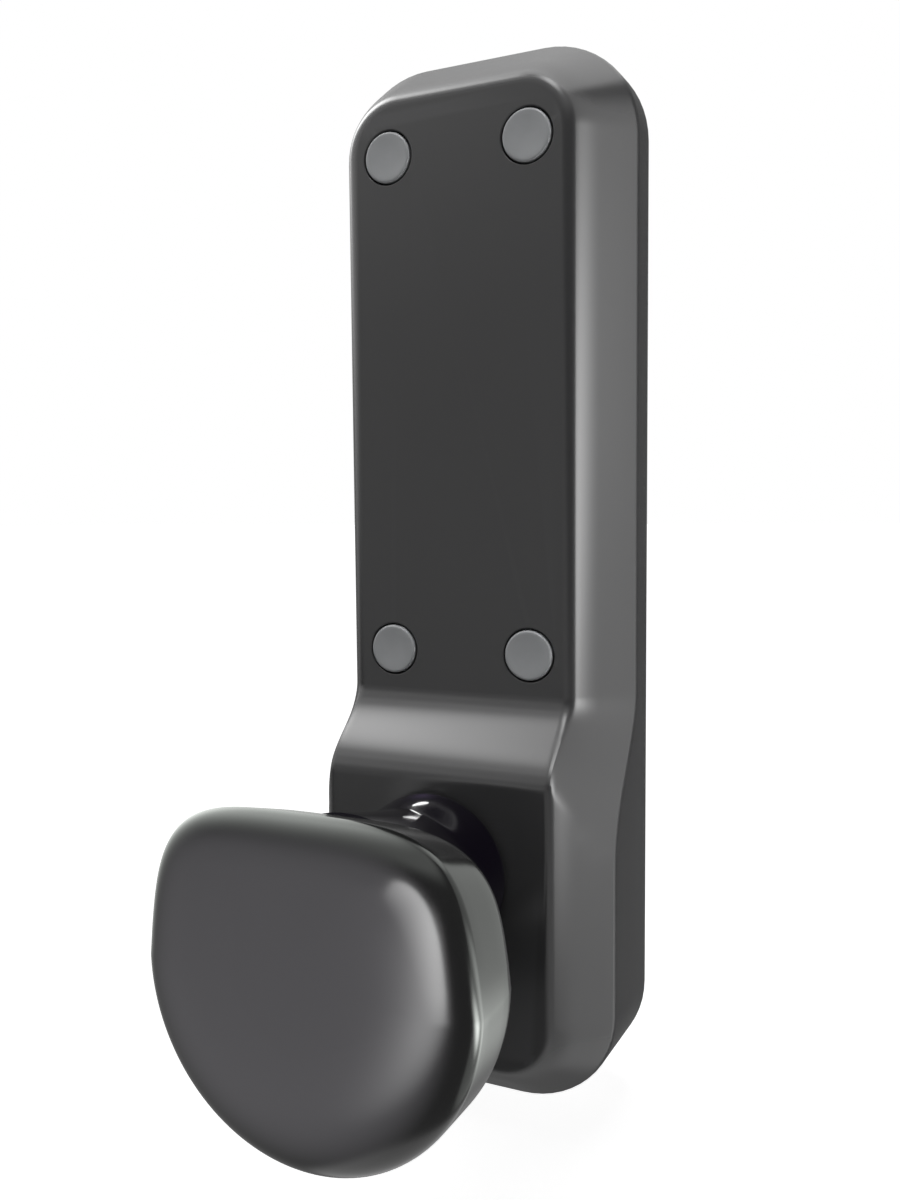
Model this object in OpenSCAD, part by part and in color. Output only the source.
// Inside half of a mechanical digital door lock: a stepped, chamfered case with
// four capped face screws and a D-shaped palm knob that turns a square spindle.
// Origin: knob axis at the door face. The front faces -Y, +Z is up, millimetres.

/* [Case] */
// Width of the case
case_w = 55; // [54:0.5:60]
// Height of the case above the knob axis
case_above = 137; // [132:1:150]
// Height of the case below the knob axis
case_below = 41; // [40.5:0.5:46]
// Depth of the upper face in front of the door
face_depth = 18.1; // [17.5:0.1:20]
// How far the lower face stands in front of the upper face
step_out = 9.8; // [9.5:0.1:12]
// Depth of the straight side wall beside the upper face
upper_rim = 5.7; // [4.5:0.1:7]
// Depth of the straight side wall beside the lower face
lower_rim = 17; // [15:0.1:18]
// Width of the slanted side
chamfer_side = 7.4; // [6:0.1:8]
// Width of the slanted top and bottom
chamfer_end = 8.3; // [6.5:0.1:9]
// Corner radius of the outline
corner_r = 16.3; // [14:0.1:18]
// Corner radius of the upper face
upper_corner_r = 7.5; // [5:0.1:9]
// Corner radius of the lower face
lower_corner_r = 5; // [4:0.1:9]
// Rounding between the slanted side and the upper face
upper_fillet = 2.7; // [1:0.1:3]
// Rounding between the slanted side and the lower face
lower_fillet = 1.6; // [0.8:0.1:3]
// Where the face starts to step out, above the knob axis
step_top = 28.5; // [27:0.5:30]
// Height of the step in the face
step_h = 13.6; // [10:0.2:16]
// Where the side wall starts to step out, above the knob axis
rim_step_top = 28; // [24:0.5:30]
// Height of the step in the side wall
rim_step_h = 26.3; // [16:0.1:30]
// Thickness of the side walls
wall = 2.2; // [1.8:0.1:2.6]
// Thickness of the front wall
front_wall = 2.4; // [2:0.1:3]
// Wall of the bosses and posts around screws
boss_wall = 1.9; // [1.7:0.1:2.1]
// Closed length at the end of the back plate screws' posts
post_floor = 1; // [0.8:0.1:1.4]

/* [Cover caps and face screws] */
// Distance between the two columns of caps
cap_pitch_x = 25.4; // [24:0.1:27]
// Distance between the two rows of caps
cap_pitch_z = 83.8; // [78:0.1:86]
// Height of the middle of the caps above the knob axis
cap_mid = 77; // [75:0.5:80]
// Diameter of a cover cap
cap_d = 8.4; // [8:0.1:9]
// How far a cap stands in front of the face
cap_proud = 0.35; // [0.2:0.05:0.8]
// Depth of the shallow dish in a cap
cap_dish = 0.2; // [0:0.05:0.3]
// Depth of the seat that a cap rests on
cap_seat = 4.2; // [3.5:0.1:4.6]
// Thickness of a cap's skirt
cap_skirt = 0.7; // [0.5:0.05:0.9]
// Depth of the underside of a cap's disc behind the face
cap_roof = 1.1; // [0.9:0.1:1.4]
// Rounding of a cap's edge
cap_edge = 0.35; // [0.2:0.05:0.4]
// Width of the slit in a cap's skirt
cap_slit = 0.8; // [0.6:0.1:1]
// Diameter of the face screws
face_screw_d = 4; // [3:0.5:4]
// Diameter of the face screws' heads
face_head_d = 7; // [6.6:0.1:7.2]
// Height of the face screws' heads
face_head_h = 2.7; // [2:0.1:2.8]
// Space between a face screw's head and its cap
head_room = 0.5; // [0.3:0.1:0.6]
// Key size of the face screws
face_key = 3; // [2.5:0.5:3]
// Depth of the key socket in a face screw
face_key_deep = 1.6; // [1.2:0.1:1.8]
// Thickness of the floor under a face screw's head
boss_floor = 2.3; // [1.8:0.1:2.8]

/* [Chassis] */
// Thickness of the chassis sheet
chassis_t = 1.5; // [1.2:0.1:1.6]
// Height of the chassis flanges behind the sheet
chassis_flange = 3.4; // [2:0.1:3.6]
// Overhang of the chassis beyond the rows of screws
chassis_over = 9; // [7:0.5:10]
// Width of the square windows in the chassis
window_w = 8; // [6:0.5:9]
// Distance from one window to the next
window_pitch = 14; // [12:0.5:14]
// Width of a nut across its flats
nut_af = 7; // [6.5:0.1:7.2]
// Thickness of a nut
nut_h = 3.2; // [2.4:0.1:3.4]
// How far a face screw reaches past its nut
screw_past = 0.5; // [0.2:0.1:1]

/* [Back plate and fixings] */
// Thickness of the back plate
plate_t = 1.6; // [1.5:0.1:1.8]
// Width of the case rim left around the back plate
rim_lip = 1.1; // [0.8:0.1:1.3]
// Diameter of the back plate screws
plate_screw_d = 3; // [2.5:0.1:3]
// Length of the holes for the back plate screws in the posts
plate_screw_l = 8; // [6:0.5:9]
// Width and depth of the slot in a back plate screw
plate_slot = 0.8; // [0.6:0.1:1]
// Heights of the back plate screws: upper row
plate_screw_high = 104; // [98:1:108]
// Heights of the back plate screws: middle row
plate_screw_mid = 50; // [45:1:60]
// Heights of the back plate screws: lower row
plate_screw_low = -24; // [-25:0.5:-22]
// Tapping diameter of the fixing threads
fixing_thread_d = 4.2; // [3.3:0.1:4.2]
// Outer diameter of the threaded inserts in the back plate
insert_d = 7; // [6.5:0.1:7.4]
// Length of the threaded inserts, from the door face
insert_l = 11.5; // [9:0.5:12.5]
// Diameter of the inserts' shoulders behind the back plate
insert_shoulder_d = 9.4; // [8.6:0.1:10]
// Thickness of the inserts' shoulders
insert_shoulder_t = 1.5; // [1.2:0.1:2]
// Height of the upper fixing above the knob axis
fixing_high = 104; // [95:1:106]
// Height of the lower fixing below the knob axis
fixing_low = 29.5; // [28.5:0.5:30]

/* [Knob] */
// Width of the knob head
head_w = 52.5; // [48:0.5:55]
// Height of the knob head above its widest line
head_up = 24; // [22:0.1:25]
// Depth of the knob head below its widest line
head_down = 27.4; // [26:0.1:32]
// How far the widest line lies below the knob axis
head_low = 3.3; // [2:0.1:4]
// Squareness of the head's upper shoulders
head_shoulder = 3.95; // [2.5:0.05:4.5]
// Share by which the head narrows towards its top
head_lean = 0.1; // [0:0.01:0.15]
// How much lower the head's top is at the back
head_taper = 4.6; // [0:0.1:5]
// Thickness of the knob head
head_t = 16.2; // [15.8:0.1:20]
// Width of the head's flat side band
head_band = 7.8; // [5:0.1:8.5]
// Width of the head's rear bevel
head_bevel = 3; // [2:0.1:3.5]
// How far in from its edge the head's face is crowned
crown_reach = 24; // [16:0.5:26]
// Squareness of the crown's edge
crown_power = 3.2; // [2:0.1:5]
// Distance from the lower face to the back of the head
reach = 27.9; // [26:0.1:34]
// Diameter of the neck's collar
collar_d = 26.5; // [25:0.1:27.5]
// Diameter of the neck's waist
waist_d = 25.6; // [24.4:0.1:26]
// Distance from the lower face to the waist
waist_at = 10.5; // [9:0.1:12]
// Diameter of the neck at the head
flare_d = 33; // [30:0.1:33.6]
// Rounding of the collar's edge
collar_round = 1.8; // [1:0.1:2.2]
// How strongly the neck's flare curves
flare_curve = 1.2; // [1:0.05:1.5]
// Diameter of the neck's spigot in the head
spigot_d = 18; // [16:0.2:20]
// Length of the neck's spigot
spigot_l = 6; // [5:0.2:7]
// Diameter of the knob screw
knob_screw_d = 5; // [4:0.5:5]
// Length of the knob screw's shank
knob_screw_l = 14; // [11:0.5:14.5]
// Diameter of the knob screw's head
screw_head_d = 9; // [8.4:0.1:9.4]
// Height of the knob screw's head
screw_head_h = 2.8; // [2.4:0.1:3]
// Space between the knob screw's head and the shaft's end
screw_room = 0.7; // [0.4:0.1:1]
// Key size of the knob screw
screw_key = 4; // [3:0.5:4]
// Depth of the key socket in the knob screw
screw_key_deep = 1.9; // [1.5:0.1:2]
// Diameter of the two knob dowels
dowel_d = 3; // [2.5:0.1:3.2]
// Length of the knob dowels
dowel_l = 7; // [6:0.5:8]
// Distance of the knob dowels from the axis
dowel_at = 12; // [11.6:0.1:12.6]
// Diameter of the grub screw
grub_d = 5; // [4:0.5:5]
// Distance from the lower face to the grub screw
grub_at = 8.5; // [7.5:0.1:11]
// Key size of the grub screw
grub_key = 2.5; // [2:0.5:2.5]
// Depth of the key socket in the grub screw
grub_key_deep = 2.4; // [2:0.1:2.8]
// How far the grub screw lies below the neck's surface
grub_sunk = 0.5; // [0.3:0.1:0.8]

/* [Shaft and bearings] */
// Diameter of the drive shaft
shaft_d = 16; // [15.8:0.1:16.2]
// Depth of the flat under the grub screw
grub_flat = 0.4; // [0.3:0.1:0.6]
// Length of the flat beyond the grub screw at each end
grub_room = 0.5; // [0.3:0.1:1]
// Width of the drive shaft's square across its flats
square_w = 11; // [10.8:0.1:11]
// How much is turned off the corners of the square
square_trim = 0.1; // [0.05:0.05:0.3]
// Diameter of the drive shaft's rear journal
journal_d = 14; // [13.8:0.1:14.4]
// Width of the spindle socket across its flats
socket_w = 8.2; // [7.2:0.1:8.3]
// Depth of the spindle socket
socket_l = 22; // [18:0.5:26]
// How far the shaft stays behind the door face
shaft_recess = 1; // [0.8:0.1:1.2]
// How far the shaft reaches into the neck
shaft_in_neck = 22; // [18:0.5:22.5]
// Outer diameter of the knob bush
bush_d = 20; // [19.4:0.1:20.6]
// Length of the knob bush's sleeve
bush_l = 8.2; // [7.6:0.1:8.6]
// Thickness of the case's boss around the knob bush
bush_wall = 3.5; // [3:0.1:3.8]
// Thickness of the flanges on both bushes
bush_flange = 1.2; // [1:0.1:1.4]
// Diameter of the flange on the knob bush
bush_flange_d = 24; // [23:0.1:25]
// Diameter of the sleeve on the rear bush
rear_bush_d = 17; // [16.6:0.1:17.4]
// Diameter of the flange on the rear bush
rear_flange_d = 21; // [20:0.1:21.4]
// Thickness of the thrust washer
washer_t = 1; // [0.8:0.05:1.1]
// Thickness of the retaining ring
ring_t = 1.2; // [1:0.05:1.3]
// Depth of the retaining ring's groove
groove_deep = 0.6; // [0.4:0.05:0.8]
// How far the retaining ring stands out from the shaft
ring_out = 2; // [1.5:0.1:2.2]
// Width of the retaining ring's mouth
ring_mouth = 9; // [6:0.5:11]
// Length of full-size shaft between the ring and the cam
shaft_shoulder = 0.45; // [0.4:0.05:0.6]

/* [Return spring and stops] */
// Angle that the knob turns each way
turn = 60; // [45:1:65]
// Thickness of the return cam
cam_t = 3; // [2.5:0.1:3.1]
// Diameter of the return cam's hub
cam_d = 24; // [22:0.2:26]
// Width of the cam's lug and of the spring peg
lug_w = 2.6; // [2:0.1:3]
// Distance from the axis to the outside of the lug
lug_out = 18.2; // [17.8:0.1:18.6]
// Radial thickness of the lug
lug_t = 2; // [1.6:0.1:2.2]
// Gap between the lug and the cup's floor
lug_gap = 1.1; // [0.6:0.1:1.6]
// Width of the two stops
stop_w = 3.2; // [2.5:0.1:4]
// How far the stops stay below the cup's rim
stop_drop = 1; // [0.5:0.1:2]
// Diameter of the spring wire
wire_d = 1.6; // [1.2:0.1:1.8]
// Mean radius of the spring's coil
coil_r = 11.2; // [11:0.1:11.4]
// Number of turns in the spring
coil_turns = 3; // [2:1:3]
// Distance from one turn to the next
coil_pitch = 2.3; // [2.1:0.05:2.3]
// Rounding where the coil turns up into a leg
leg_bend = 1.4; // [1.2:0.1:1.6]
// Angle by which the coil stops short of a leg
leg_lead = 9; // [7:0.5:11]
// Distance of the spring peg from the axis
peg_at = 14.4; // [14.2:0.1:14.6]
// Inner radius of the spring cup
cup_r = 19.2; // [19:0.1:19.6]
// Thickness of the spring cup's wall
cup_wall = 1.2; // [1:0.1:1.4]
// Thickness of the spring cup's floor
cup_floor = 1.8; // [1.7:0.1:2]
// Depth of the spring cup
cup_h = 13.4; // [12:0.1:13.6]
// Wall of the spacer sleeve
sleeve_wall = 1.3; // [1:0.1:1.6]
// Diameter of the cup rivets
rivet_d = 2.5; // [2:0.1:3]
// Distance of the cup rivets from the axis
rivet_at = 15.6; // [15:0.1:16]
// Diameter of the cup rivets' heads
rivet_head_d = 4.3; // [3.8:0.1:4.6]
// Height of the cup rivets' heads
rivet_head_h = 0.9; // [0.6:0.1:1.1]

/* [Clearances] */
// Radial clearance of a running fit
run_gap = 0.05; // [0.03:0.01:0.08]
// Radial clearance of a part that is pushed or screwed in
push_gap = 0.04; // [0.02:0.01:0.06]
// Gap between a moving face and the face beside it
face_gap = 0.3; // [0.2:0.05:0.4]
// Radial clearance around a cover cap
cap_gap = 0.25; // [0.15:0.05:0.3]
// Gap around the back plate
plate_gap = 0.15; // [0.1:0.05:0.2]
// Radial clearance around a screw's shank, and space beyond a dowel or a spigot
hole_gap = 0.2; // [0.1:0.05:0.3]
// Space beyond the tip of a screw in a closed hole
tip_gap = 0.5; // [0.3:0.1:0.6]

/* [Hidden] */

$fn = 64;
// Margin by which a cut runs past a face
past = 1;
// Overlap of two shapes that are fused into one piece
sink = 0.5;
// Steps in a quarter of a corner, in the stepped stretch, across a slant and in a rounding
corner_steps = 8;
step_steps = 16;
slant_steps = 4;
fillet_steps = 5;
// Width over which the crown's rings follow the head's edge evenly, and their number there
crown_even = 6.5;
crown_steps = 7;
// Depth of the lower face in front of the door
lower_face = face_depth + step_out;
// Height of the chassis sheet's front above the door, where the screw bosses end
boss_end = face_depth - cap_seat - head_room - face_head_h - boss_floor;
chassis_back = boss_end - chassis_t;
// The chassis flanges stand just outside the nuts and keep them from turning
chassis_w = cap_pitch_x + nut_af + 2 * (face_gap + chassis_t);
screw_seat = boss_end + boss_floor;
head_pocket_r = face_head_d / 2 + cap_gap;
cap_hole_r = cap_d / 2 + cap_gap;
boss_r = cap_hole_r + boss_wall;
cap_spots = [for (z = [1, -1], x = [-1, 1]) [x * cap_pitch_x / 2, cap_mid + z * cap_pitch_z / 2]];
plate_screw_r = plate_screw_d / 2;
plate_post_r = plate_screw_r + boss_wall;
plate_screw_x = case_w / 2 - wall - plate_post_r + sink;
plate_screw_spots = [for (z = [plate_screw_high, plate_screw_mid, plate_screw_low], x = [-1, 1])
    [x * plate_screw_x, z]];
insert_r = insert_d / 2;
fixing_spots = [[0, fixing_high], [0, -fixing_low]];
// Parts along the knob axis, as depths in front of the door
neck_back = lower_face + face_gap;
head_back = lower_face + reach;
head_front = head_back + head_t;
shaft_r = shaft_d / 2;
shaft_front = neck_back + shaft_in_neck;
knob_boss_end = lower_face - face_gap - bush_l;
bush_back = knob_boss_end - bush_flange;
washer_front = bush_back - run_gap;
ring_front = washer_front - washer_t;
cam_front = ring_front - ring_t - shaft_shoulder;
cam_back = cam_front - cam_t;
rear_flange_front = plate_t + bush_flange;
cup_inside = plate_t + cup_floor;
cup_front = plate_t + cup_h;
spring_front = cam_back - face_gap;
lug_back = cup_inside + lug_gap;
knob_boss_r = bush_d / 2 + bush_wall;
// The sleeve's bore clears the square's corners, which are turned down
sleeve_r = square_w / sqrt(2);
square_corner = sleeve_r - square_trim;
peg_r = lug_w / 2;
leg_x = peg_r + wire_d / 2 + run_gap;
screw_pocket = shaft_front + screw_room + screw_head_h;
knob_screw_r = knob_screw_d / 2;
knob_screw_end = screw_pocket + knob_screw_l;
grub_seat = shaft_r - grub_flat;
spigot_end = head_back + spigot_l - hole_gap;

// A round bar along the knob axis direction, from one depth to another
module rod(r, from, to, spot = [0, 0]) {
    translate([spot[0], -from, spot[1]])
        rotate([90, 0, 0])
            cylinder(r = r, h = to - from);
}

// A cone along the same direction, from radius r1 at one depth to r2 at another
module cone(r1, r2, from, to, spot = [0, 0]) {
    translate([spot[0], -from, spot[1]])
        rotate([90, 0, 0])
            cylinder(r1 = r1, r2 = r2, h = to - from);
}

// A six-sided bar for nuts and key sockets, given its width across the flats
module hex_rod(across, from, to, spot = [0, 0]) {
    translate([spot[0], -from, spot[1]])
        rotate([90, 30, 0])
            cylinder(r = across / sqrt(3), h = to - from, $fn = 6);
}

// A square bar along the knob axis
module square_rod(w, from, to) {
    translate([-w / 2, -to, -w / 2])
        cube([w, to - from, w]);
}

// A shape turned about the knob axis; the points are [radius, depth]
module turned(points, spot = [0, 0]) {
    translate([spot[0], 0, spot[1]])
        rotate([90, 0, 0])
            rotate_extrude()
                polygon(points);
}

// The case's outline as a sheet, inset by a margin
module outline_sheet(inset, from, to) {
    half_w = case_w / 2 - inset;
    low = -case_below + inset;
    high = case_above - inset;
    r = corner_r - inset;
    translate([0, -from, 0])
        rotate([90, 0, 0])
            linear_extrude(to - from) {
                translate([-half_w, low + r])
                    square([2 * half_w, high - low - 2 * r]);
                translate([-half_w + r, low])
                    square([2 * (half_w - r), high - low]);
                for (x = [-1, 1], z = [low + r, high - r])
                    translate([x * (half_w - r), z])
                        circle(r);
            }
}

// Smooth change from 0 to 1 as t goes from 0 to 1
function ease(t) = t <= 0 ? 0 : t >= 1 ? 1 : t * t * (3 - 2 * t);

// Depth of the case's section at an inset s from the side: wall, slant, rounding, face
function section_depth(s, rim, face, fillet) =
    let (slope = (face - rim) / chamfer_side,
         turn_angle = atan(slope),
         tangent = fillet * tan(turn_angle / 2),
         flat_from = chamfer_side + tangent,
         slant_to = chamfer_side - tangent * cos(turn_angle))
    s >= flat_from ? face
    : s <= slant_to ? rim + slope * s
    : face - fillet + sqrt(max(0, fillet * fillet - pow(flat_from - s, 2)));

// Inset at which the upper face is flat, and at which its rounding starts
upper_slope = (face_depth - upper_rim) / chamfer_side;
fillet_tangent = upper_fillet * tan(atan(upper_slope) / 2);
flat_from = chamfer_side + fillet_tangent;
slant_to = chamfer_side - fillet_tangent * cos(atan(upper_slope));
end_ratio = chamfer_end / chamfer_side;

// Right half of a ring round the case, from bottom to top, as [x, y, z].
// ring = [side inset, end inset, upper depth, lower depth, step top, step height,
//         upper corner radius, lower corner radius]
function half_ring(ring) =
    let (half_w = case_w / 2 - ring[0],
         low = -case_below + ring[1],
         high = case_above - ring[1],
         r_up = ring[6],
         r_low = ring[7],
         low_arc = [for (i = [0:corner_steps])
             let (a = -90 + 90 * i / corner_steps)
             [half_w - r_low + r_low * cos(a), low + r_low + r_low * sin(a)]],
         side = [for (k = [0:step_steps]) [half_w, ring[4] - ring[5] * (1 - k / step_steps)]],
         high_arc = [for (i = [0:corner_steps])
             let (a = 90 * i / corner_steps)
             [half_w - r_up + r_up * cos(a), high - r_up + r_up * sin(a)]])
    [for (p = concat(low_arc, side, high_arc))
        [p[0], -(ring[2] + (ring[3] - ring[2]) * ease((ring[4] - p[1]) / ring[5])), p[1]]];

// A closed skin through rings that run from the back to the front
module skin(rings) {
    halves = [for (ring = rings) half_ring(ring)];
    n = len(halves[0]);
    around = 2 * n;
    last = len(rings) - 1;
    points = [for (half = halves)
        each concat(half, [for (i = [n - 1:-1:0]) [-half[i][0], half[i][1], half[i][2]]])];
    sides = [for (k = [0:last - 1], i = [0:around - 1])
        let (j = (i + 1) % around, a = k * around, b = a + around)
        each [[b + i, b + j, a + j], [b + i, a + j, a + i]]];
    front = [for (i = [0:n - 2])
        let (b = last * around, l = around - 1 - i)
        each [[b + i, b + l, b + l - 1], [b + i, b + l - 1, b + i + 1]]];
    back = [for (i = [0:n - 2])
        let (l = around - 1 - i)
        each [[l, i, l - 1], [l - 1, i, i + 1]]];
    polyhedron(points, concat(sides, front, back));
}

function outer_ring(s) =
    let (share = s / flat_from,
         step_from = rim_step_top + (step_top - rim_step_top) * min(1, s / chamfer_side),
         step_size = rim_step_h + (step_h - rim_step_h) * min(1, s / chamfer_side))
    [s, s * end_ratio,
     section_depth(s, upper_rim, face_depth, upper_fillet),
     section_depth(s, lower_rim, lower_face, lower_fillet),
     step_from, step_size,
     corner_r + (upper_corner_r - corner_r) * share,
     corner_r + (lower_corner_r - corner_r) * share];

module case_outside() {
    insets = concat([for (i = [0:slant_steps - 1]) slant_to * i / slant_steps],
        [for (i = [0:fillet_steps]) slant_to + (flat_from - slant_to) * i / fillet_steps]);
    door_ring = [0, 0, 0, 0, rim_step_top, rim_step_h, corner_r, corner_r];
    skin(concat([door_ring], [for (s = insets) outer_ring(s)]));
}

// The hollow keeps the wall's thickness square to the slant
module case_hollow() {
    stretch = sqrt(1 + upper_slope * upper_slope);
    rim_drop = wall * (stretch - upper_slope);
    face_inset = (face_depth - front_wall - upper_rim + wall * stretch) / upper_slope;
    inner_corner = corner_r - wall;
    face_corner = max(wall, upper_corner_r - wall);
    skin([
        [wall, wall, -past, -past, rim_step_top, rim_step_h, inner_corner, inner_corner],
        [wall, wall, upper_rim - rim_drop, lower_rim - rim_drop, rim_step_top, rim_step_h,
         inner_corner, inner_corner],
        [face_inset, face_inset * end_ratio, face_depth - front_wall, lower_face - front_wall,
         step_top, step_h, face_corner, face_corner]
    ]);
}

module case() {
    color([0.25, 0.25, 0.26])
    difference() {
        union() {
            difference() {
                case_outside();
                case_hollow();
            }
            for (spot = cap_spots)
                rod(boss_r, boss_end, face_depth - sink, spot);
            intersection() {
                case_outside();
                for (spot = plate_screw_spots)
                    rod(plate_post_r, plate_t, plate_t + plate_screw_l + post_floor, spot);
            }
            rod(knob_boss_r, knob_boss_end, lower_face - sink);
        }
        for (spot = cap_spots) {
            rod(cap_hole_r, face_depth - cap_seat, face_depth + past, spot);
            rod(head_pocket_r, screw_seat, face_depth, spot);
            rod(face_screw_d / 2 + hole_gap, boss_end - past, face_depth, spot);
        }
        for (spot = plate_screw_spots)
            rod(plate_screw_r + push_gap, 0, plate_t + plate_screw_l, spot);
        rod(bush_d / 2 + push_gap, knob_boss_end - past, lower_face + past);
        outline_sheet(rim_lip, -past, plate_t);
    }
}

// Push-in cap: a dished disc on a split skirt that stands on the seat in the case
module cover_cap(i) {
    r = cap_d / 2;
    seat = face_depth - cap_seat;
    top = face_depth + cap_proud;
    roof = face_depth - cap_roof;
    color([0.45, 0.46, 0.47])
    difference() {
        turned([[0, roof], [r - cap_skirt, roof], [r - cap_skirt, seat], [r, seat],
                [r, top - cap_edge], [r - cap_edge * 0.3, top - cap_edge * 0.3],
                [r - cap_edge, top], [r - 2 * cap_edge, top - cap_dish / 3],
                [r / 2, top - cap_dish * 0.8], [0, top - cap_dish]], cap_spots[i]);
        translate([cap_spots[i][0] - cap_slit / 2, -roof + cap_slit / 2,
                   cap_spots[i][1] - r - past])
            cube([cap_slit, roof - seat + past, 2 * r + 2 * past]);
    }
}

module cover_cap_top_left() { cover_cap(0); }
module cover_cap_top_right() { cover_cap(1); }
module cover_cap_bottom_left() { cover_cap(2); }
module cover_cap_bottom_right() { cover_cap(3); }

// Cheese-head screws with a hex socket, one behind each cap
module face_screws() {
    tip = chassis_back - nut_h - screw_past;
    color([0.6, 0.6, 0.62])
    for (spot = cap_spots)
        difference() {
            union() {
                rod(face_head_d / 2, screw_seat, screw_seat + face_head_h, spot);
                rod(face_screw_d / 2, tip, screw_seat + sink, spot);
            }
            hex_rod(face_key, screw_seat + face_head_h - face_key_deep,
                    screw_seat + face_head_h + past, spot);
        }
}

// Steel channel that the face screws pull against the case's bosses
module chassis() {
    low = cap_mid - cap_pitch_z / 2 - chassis_over;
    tall = cap_pitch_z + 2 * chassis_over;
    color([0.62, 0.63, 0.64])
    difference() {
        union() {
            translate([-chassis_w / 2, -boss_end, low])
                cube([chassis_w, chassis_t, tall]);
            for (side = [-1, 1])
                translate([side * (chassis_w - chassis_t) / 2 - chassis_t / 2,
                           -boss_end, low + chassis_over])
                    cube([chassis_t, chassis_t + chassis_flange, cap_pitch_z]);
        }
        for (spot = cap_spots)
            rod(face_screw_d / 2 + hole_gap, 0, face_depth, spot);
        rod(insert_r + face_gap, 0, face_depth, fixing_spots[0]);
        for (z = [-1, 0, 1])
            translate([-window_w / 2, -face_depth, cap_mid + z * window_pitch - window_w / 2])
                cube([window_w, face_depth, window_w]);
    }
}

module chassis_nuts() {
    color([0.72, 0.7, 0.6])
    for (spot = cap_spots)
        difference() {
            hex_rod(nut_af, chassis_back - nut_h, chassis_back, spot);
            rod(face_screw_d / 2 + push_gap, 0, face_depth, spot);
        }
}

module back_plate() {
    color([0.66, 0.67, 0.68])
    difference() {
        outline_sheet(rim_lip + plate_gap, 0, plate_t);
        rod(rear_bush_d / 2 + push_gap, -past, plate_t + past);
        for (spot = fixing_spots)
            rod(insert_r + push_gap, -past, plate_t + past, spot);
        for (spot = plate_screw_spots) {
            rod(plate_screw_r + push_gap, -past, plate_t + past, spot);
            cone(2 * plate_screw_r, plate_screw_r, 0, plate_screw_r, spot);
        }
        for (a = rivet_angles)
            rod(rivet_d / 2 + push_gap, -past, plate_t + past, around_axis(rivet_at, a));
    }
}

// Countersunk screws through the back plate into the case's posts
module back_plate_screws() {
    color([0.6, 0.6, 0.62])
    for (spot = plate_screw_spots)
        difference() {
            union() {
                cone(2 * plate_screw_r - push_gap, plate_screw_r, push_gap, plate_screw_r, spot);
                rod(plate_screw_r, push_gap, plate_t + plate_screw_l - tip_gap, spot);
            }
            translate([spot[0] - plate_screw_d, -plate_slot, spot[1] - plate_slot / 2])
                cube([2 * plate_screw_d, plate_slot + past, plate_slot]);
        }
}

// Threaded inserts clinched in the back plate for the two bolts that come through the door
module fixing_insert(spot) {
    color([0.78, 0.66, 0.36])
    difference() {
        union() {
            rod(insert_r, 0, insert_l, spot);
            rod(insert_shoulder_d / 2, plate_t, plate_t + insert_shoulder_t, spot);
        }
        rod(fixing_thread_d / 2, -past, insert_l + past, spot);
    }
}

module fixing_insert_top() { fixing_insert(fixing_spots[0]); }
module fixing_insert_bottom() { fixing_insert(fixing_spots[1]); }

// Bronze bearing of the knob in the front of the case
module knob_bush() {
    color([0.7, 0.52, 0.3])
    difference() {
        union() {
            rod(bush_d / 2, knob_boss_end, knob_boss_end + bush_l);
            rod(bush_flange_d / 2, bush_back, knob_boss_end);
        }
        rod(shaft_r + run_gap, 0, lower_face + past);
    }
}

// Nylon bearing of the shaft in the back plate
module rear_bush() {
    color([0.9, 0.9, 0.86])
    difference() {
        union() {
            rod(rear_bush_d / 2, face_gap, plate_t + sink);
            rod(rear_flange_d / 2, plate_t, rear_flange_front);
        }
        rod(journal_d / 2 + run_gap, -past, rear_flange_front + past);
    }
}

// Place on a circle about the knob axis, turned from straight up towards +X
function around_axis(r, a) = [r * sin(a), r * cos(a)];
rivet_angles = [115, 180, 245];

// Cup round the return spring, with the two stops that end the knob's turn
module spring_cup() {
    stop_in = lug_out - lug_t;
    stop_front = cup_front - stop_drop;
    color([0.6, 0.61, 0.63])
    difference() {
        union() {
            difference() {
                rod(cup_r + cup_wall, plate_t, cup_front);
                rod(cup_r, cup_inside, cup_front + past);
            }
            for (side = [-1, 1])
                rotate([0, side * turn, 0])
                    translate([side * (lug_w / 2 + run_gap + stop_w / 2) - stop_w / 2,
                               -stop_front, stop_in])
                        cube([stop_w, stop_front - cup_inside + sink,
                              cup_r + cup_wall / 2 - stop_in]);
        }
        rod(rear_flange_d / 2 + face_gap, 0, cup_front);
        rod(peg_r + push_gap, 0, cup_inside + past, [0, peg_at]);
        for (a = rivet_angles)
            rod(rivet_d / 2 + push_gap, 0, cup_inside + past, around_axis(rivet_at, a));
    }
}

module cup_rivets() {
    color([0.66, 0.66, 0.68])
    for (a = rivet_angles) {
        spot = around_axis(rivet_at, a);
        union() {
            rod(rivet_d / 2, push_gap, cup_inside + sink, spot);
            cone(rivet_head_d / 2, rivet_d / 2, cup_inside, cup_inside + rivet_head_h, spot);
        }
    }
}

module spring_peg() {
    color([0.58, 0.58, 0.6])
        rod(peg_r, plate_t, spring_front - face_gap, [0, peg_at]);
}

// Outline of the knob head at an angle about its widest line, as [x, z]
function head_edge(a, drop) =
    let (c = cos(a),
         s = sin(a),
         power = s > 0 ? 2 / head_shoulder : 1,
         rise = sign(s) * pow(abs(s), power),
         lean = 1 - head_lean * max(0, rise))
    [sign(c) * pow(abs(c), power) * head_w / 2 * lean,
     rise * (s > 0 ? head_up - drop : head_down) - head_low];

// The same outline drawn in evenly all round
function head_spot(a, inset, drop) =
    let (along = head_edge(a + 1, drop) - head_edge(a - 1, drop))
    head_edge(a, drop) + inset * [-along[1], along[0]] / norm(along);

// Share of the crown's full height at a distance s in from the head's edge
function crown_rise(s) = sqrt(1 - pow(1 - s / crown_reach, crown_power));

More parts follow.
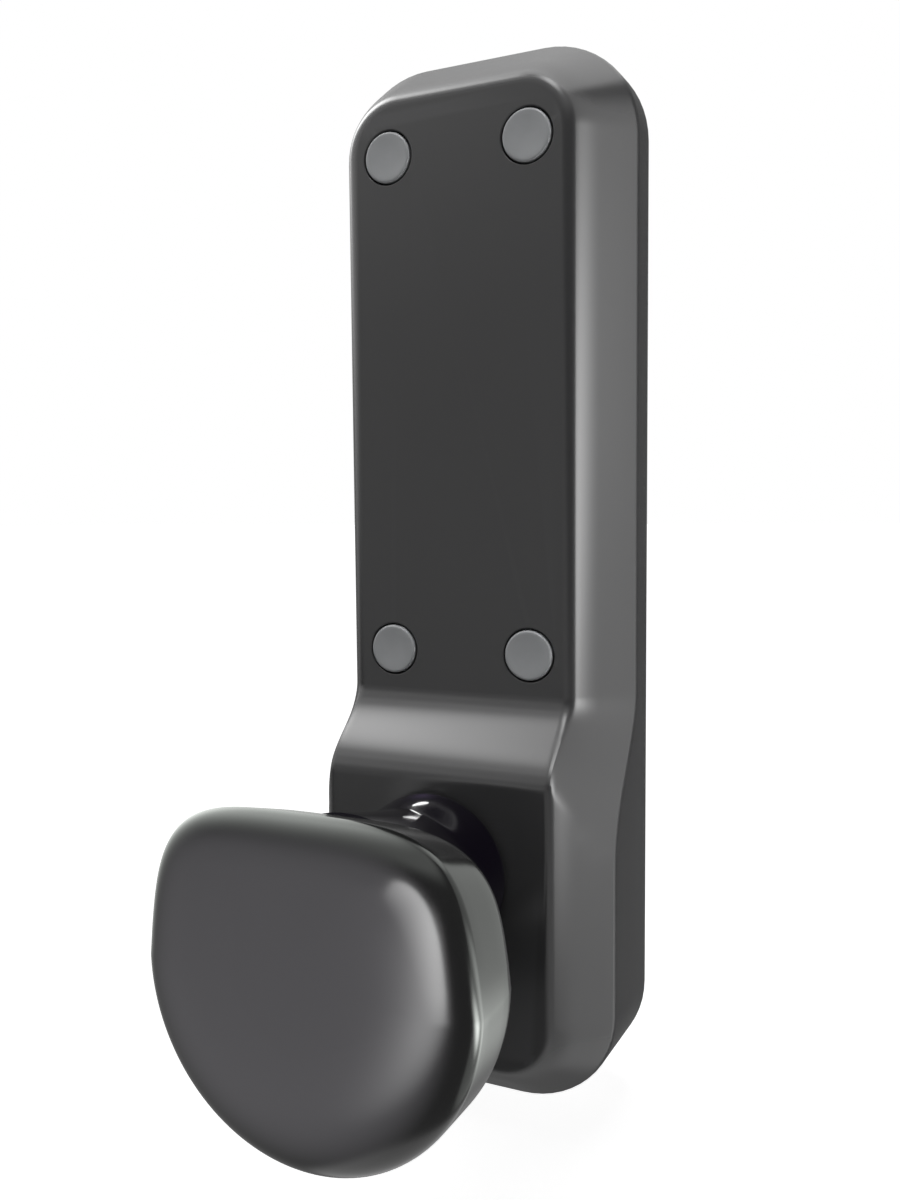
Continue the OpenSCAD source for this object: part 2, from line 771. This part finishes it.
// The head: rear bevel, side band, and a face that is crowned more and more to its edge.
// ring = [inset, depth, share of the way out from the axis]
module head_body() {
    steps = 72;
    band_back = head_back + head_bevel;
    band_front = band_back + head_band;
    crown_h = head_front - band_front;
    rings = concat(
        [[head_bevel * 0.6, head_back, 1], [head_bevel * 0.22, head_back + head_bevel * 0.3, 1],
         [0, band_back, 1], [0, band_front, 1]],
        [for (i = [1:crown_steps]) let (s = crown_even * pow(i / crown_steps, 2))
            [s, band_front + crown_h * crown_rise(s), 1]],
        [for (w = [0.25, 0.5, 0.75])
            [crown_even,
             band_front + crown_h * crown_rise(crown_even + w * (crown_reach - crown_even)),
             1 - w]]);
    last = len(rings) - 1;
    points = concat(
        [for (ring = rings, i = [0:steps - 1])
            let (drop = head_taper * (head_front - ring[1]) / head_t,
                 p = ring[2] * head_spot(360 * i / steps, ring[0], drop))
            [p[0], -ring[1], p[1]]],
        [[0, -head_back, 0], [0, -head_front, 0]]);
    back_hub = (last + 1) * steps;
    polyhedron(points, concat(
        [for (k = [0:last - 1], i = [0:steps - 1])
            let (j = (i + 1) % steps, a = k * steps, b = a + steps)
            each [[b + i, b + j, a + j], [b + i, a + j, a + i]]],
        [for (i = [0:steps - 1]) [back_hub, i, (i + 1) % steps]],
        [for (i = [0:steps - 1])
            [back_hub + 1, last * steps + (i + 1) % steps, last * steps + i]]));
}

module knob_head() {
    color([0.22, 0.23, 0.23])
    difference() {
        head_body();
        rod(spigot_d / 2 + push_gap, head_back - past, head_back + spigot_l);
        rod(knob_screw_r + push_gap, head_back, knob_screw_end + tip_gap);
        for (x = [-1, 1])
            rod(dowel_d / 2 + push_gap, head_back - past, head_back + dowel_l / 2 + hole_gap,
                [x * dowel_at, 0]);
    }
}

// Radius of the neck at a depth: a full collar, a slight waist, a flare to the head
function neck_r(depth) =
    let (waist = lower_face + waist_at)
    depth < waist
    ? (collar_d + (waist_d - collar_d) * ease((depth - neck_back) / (waist - neck_back))) / 2
    : (waist_d + (flare_d - waist_d) * pow((depth - waist) / (head_back - waist), flare_curve)) / 2;

module knob_neck() {
    neck_steps = 14;
    round_end = neck_back + collar_round;
    color([0.07, 0.06, 0.08])
    difference() {
        turned(concat(
            [[0, neck_back]],
            [for (i = [0:4]) let (a = 90 * i / 4)
                [neck_r(round_end) - collar_round * (1 - sin(a)),
                 round_end - collar_round * cos(a)]],
            [for (i = [1:neck_steps])
                let (depth = round_end + (head_back - round_end) * i / neck_steps)
                [neck_r(depth), depth]],
            [[spigot_d / 2, head_back], [spigot_d / 2, spigot_end], [0, spigot_end]]));
        rod(shaft_r + push_gap, neck_back - past, shaft_front + face_gap);
        rod(screw_head_d / 2 + face_gap, shaft_front, screw_pocket);
        rod(knob_screw_r + hole_gap, screw_pocket - past, head_front);
        for (x = [-1, 1])
            rod(dowel_d / 2 + push_gap, head_back - dowel_l / 2 - hole_gap, head_back + past,
                [x * dowel_at, 0]);
        translate([0, -lower_face - grub_at, -collar_d])
            cylinder(d = grub_d + 2 * push_gap, h = collar_d);
    }
}

// Screw from inside the neck into the head, under the shaft's end
module knob_screw() {
    head_back_end = screw_pocket - screw_head_h;
    color([0.55, 0.55, 0.57])
    difference() {
        union() {
            rod(screw_head_d / 2, head_back_end, screw_pocket);
            rod(knob_screw_r, screw_pocket - sink, knob_screw_end);
        }
        hex_rod(screw_key, head_back_end - past, head_back_end + screw_key_deep);
    }
}

module knob_dowels() {
    color([0.62, 0.62, 0.64])
    for (x = [-1, 1])
        rod(dowel_d / 2, head_back - dowel_l / 2, head_back + dowel_l / 2, [x * dowel_at, 0]);
}

// Socket screw under the neck that bears on a flat of the shaft
module grub_screw() {
    tip = grub_seat + push_gap;
    end = neck_r(lower_face + grub_at) - grub_sunk;
    color([0.3, 0.3, 0.32])
    translate([0, -lower_face - grub_at, 0])
        difference() {
            translate([0, 0, -end])
                cylinder(d = grub_d, h = end - tip);
            translate([0, 0, -end - past])
                cylinder(r = grub_key / sqrt(3), h = past + grub_key_deep, $fn = 6);
        }
}

// Shaft: knob end, bearing, groove, square for the cam, journal, spindle socket
module drive_shaft() {
    square_from = rear_flange_front + face_gap;
    color([0.68, 0.69, 0.7])
    difference() {
        union() {
            rod(shaft_r, cam_front, shaft_front);
            rod(journal_d / 2, shaft_recess, square_from + sink);
            intersection() {
                square_rod(square_w, square_from, cam_front + sink);
                rod(square_corner, square_from, cam_front + sink);
            }
        }
        square_rod(socket_w, 0, shaft_recess + socket_l);
        difference() {
            rod(shaft_r + past, ring_front - ring_t - run_gap, ring_front + run_gap);
            rod(shaft_r - groove_deep, 0, shaft_front);
        }
        translate([-shaft_r, -lower_face - grub_at - grub_d / 2 - grub_room, -shaft_r - past])
            cube([shaft_d, grub_d + 2 * grub_room, past + shaft_r - grub_seat]);
    }
}

module thrust_washer() {
    color([0.75, 0.75, 0.76])
    difference() {
        rod(bush_flange_d / 2, ring_front, washer_front);
        rod(shaft_r + 2 * run_gap, 0, lower_face);
    }
}

// Open ring in the shaft's groove, with its mouth downwards
module retaining_ring() {
    ring_r = shaft_r + ring_out;
    color([0.5, 0.5, 0.52])
    difference() {
        rod(ring_r, ring_front - ring_t, ring_front);
        rod(shaft_r - groove_deep + push_gap, 0, lower_face);
        translate([-ring_mouth / 2, -lower_face, -ring_r - past])
            cube([ring_mouth, lower_face, ring_r]);
    }
}

// Plate on the shaft's square whose lug pushes one leg of the spring either way
module return_cam() {
    color([0.64, 0.65, 0.66])
    difference() {
        union() {
            rod(cam_d / 2, cam_back, cam_front);
            translate([-lug_w / 2, -cam_front, 0])
                cube([lug_w, cam_t, lug_out]);
            translate([-lug_w / 2, -cam_front, lug_out - lug_t])
                cube([lug_w, cam_front - lug_back, lug_t]);
        }
        square_rod(square_w + 2 * push_gap, 0, cam_front + past);
    }
}

// Spacer that keeps the cam against the shaft's shoulder
module spacer_sleeve() {
    color([0.88, 0.88, 0.84])
    difference() {
        rod(sleeve_r + sleeve_wall, rear_flange_front + face_gap, cam_back);
        rod(sleeve_r, 0, cam_front);
    }
}

// A round wire along a path that stays nearly square to the knob axis
module wire(path, r, sides = 8) {
    n = len(path);
    points = [for (i = [0:n - 1])
        let (ahead = path[min(i + 1, n - 1)] - path[max(i - 1, 0)],
             along = ahead / norm(ahead),
             across_raw = cross(along, [0, 1, 0]),
             across = across_raw / norm(across_raw),
             third = cross(along, across))
        for (k = [0:sides - 1])
            path[i] + r * (cos(360 * k / sides) * across + sin(360 * k / sides) * third)];
    polyhedron(points, concat(
        [for (i = [0:n - 2], k = [0:sides - 1])
            let (a = i * sides + k, b = i * sides + (k + 1) % sides)
            each [[a, a + sides, b + sides], [a, b + sides, b]]],
        [[for (k = [0:sides - 1]) k]],
        [[for (k = [sides - 1:-1:0]) (n - 1) * sides + k]]));
}

// Torsion spring: its legs grip the peg and the lug from both sides
module return_spring() {
    per_turn = 20;
    first = asin(leg_x / coil_r) + leg_lead;
    last = 360 * coil_turns - first;
    count = ceil((last - first) / 360 * per_turn);
    front = spring_front - wire_d / 2;
    drop = coil_pitch / 360;
    coil = [for (i = [0:count])
        let (a = first + (last - first) * i / count)
        [coil_r * sin(a), -front + drop * (a - first), coil_r * cos(a)]];
    back = coil[count][1];
    start_leg = [[leg_x, -front, lug_out], [leg_x, -front, coil_r + leg_bend],
                 [leg_x + leg_bend * 0.3, -front, coil_r + leg_bend * 0.35]];
    end_leg = [[-leg_x - leg_bend * 0.3, back, coil_r + leg_bend * 0.35],
               [-leg_x, back, coil_r + leg_bend], [-leg_x, back, lug_out]];
    color([0.78, 0.79, 0.8])
        wire(concat(start_leg, coil, end_leg), wire_d / 2);
}

case();
cover_cap_top_left();
cover_cap_top_right();
cover_cap_bottom_left();
cover_cap_bottom_right();
face_screws();
chassis();
chassis_nuts();
back_plate();
back_plate_screws();
fixing_insert_top();
fixing_insert_bottom();
knob_bush();
rear_bush();
spring_cup();
cup_rivets();
spring_peg();
knob_head();
knob_neck();
knob_screw();
knob_dowels();
grub_screw();
drive_shaft();
thrust_washer();
retaining_ring();
return_cam();
spacer_sleeve();
return_spring();
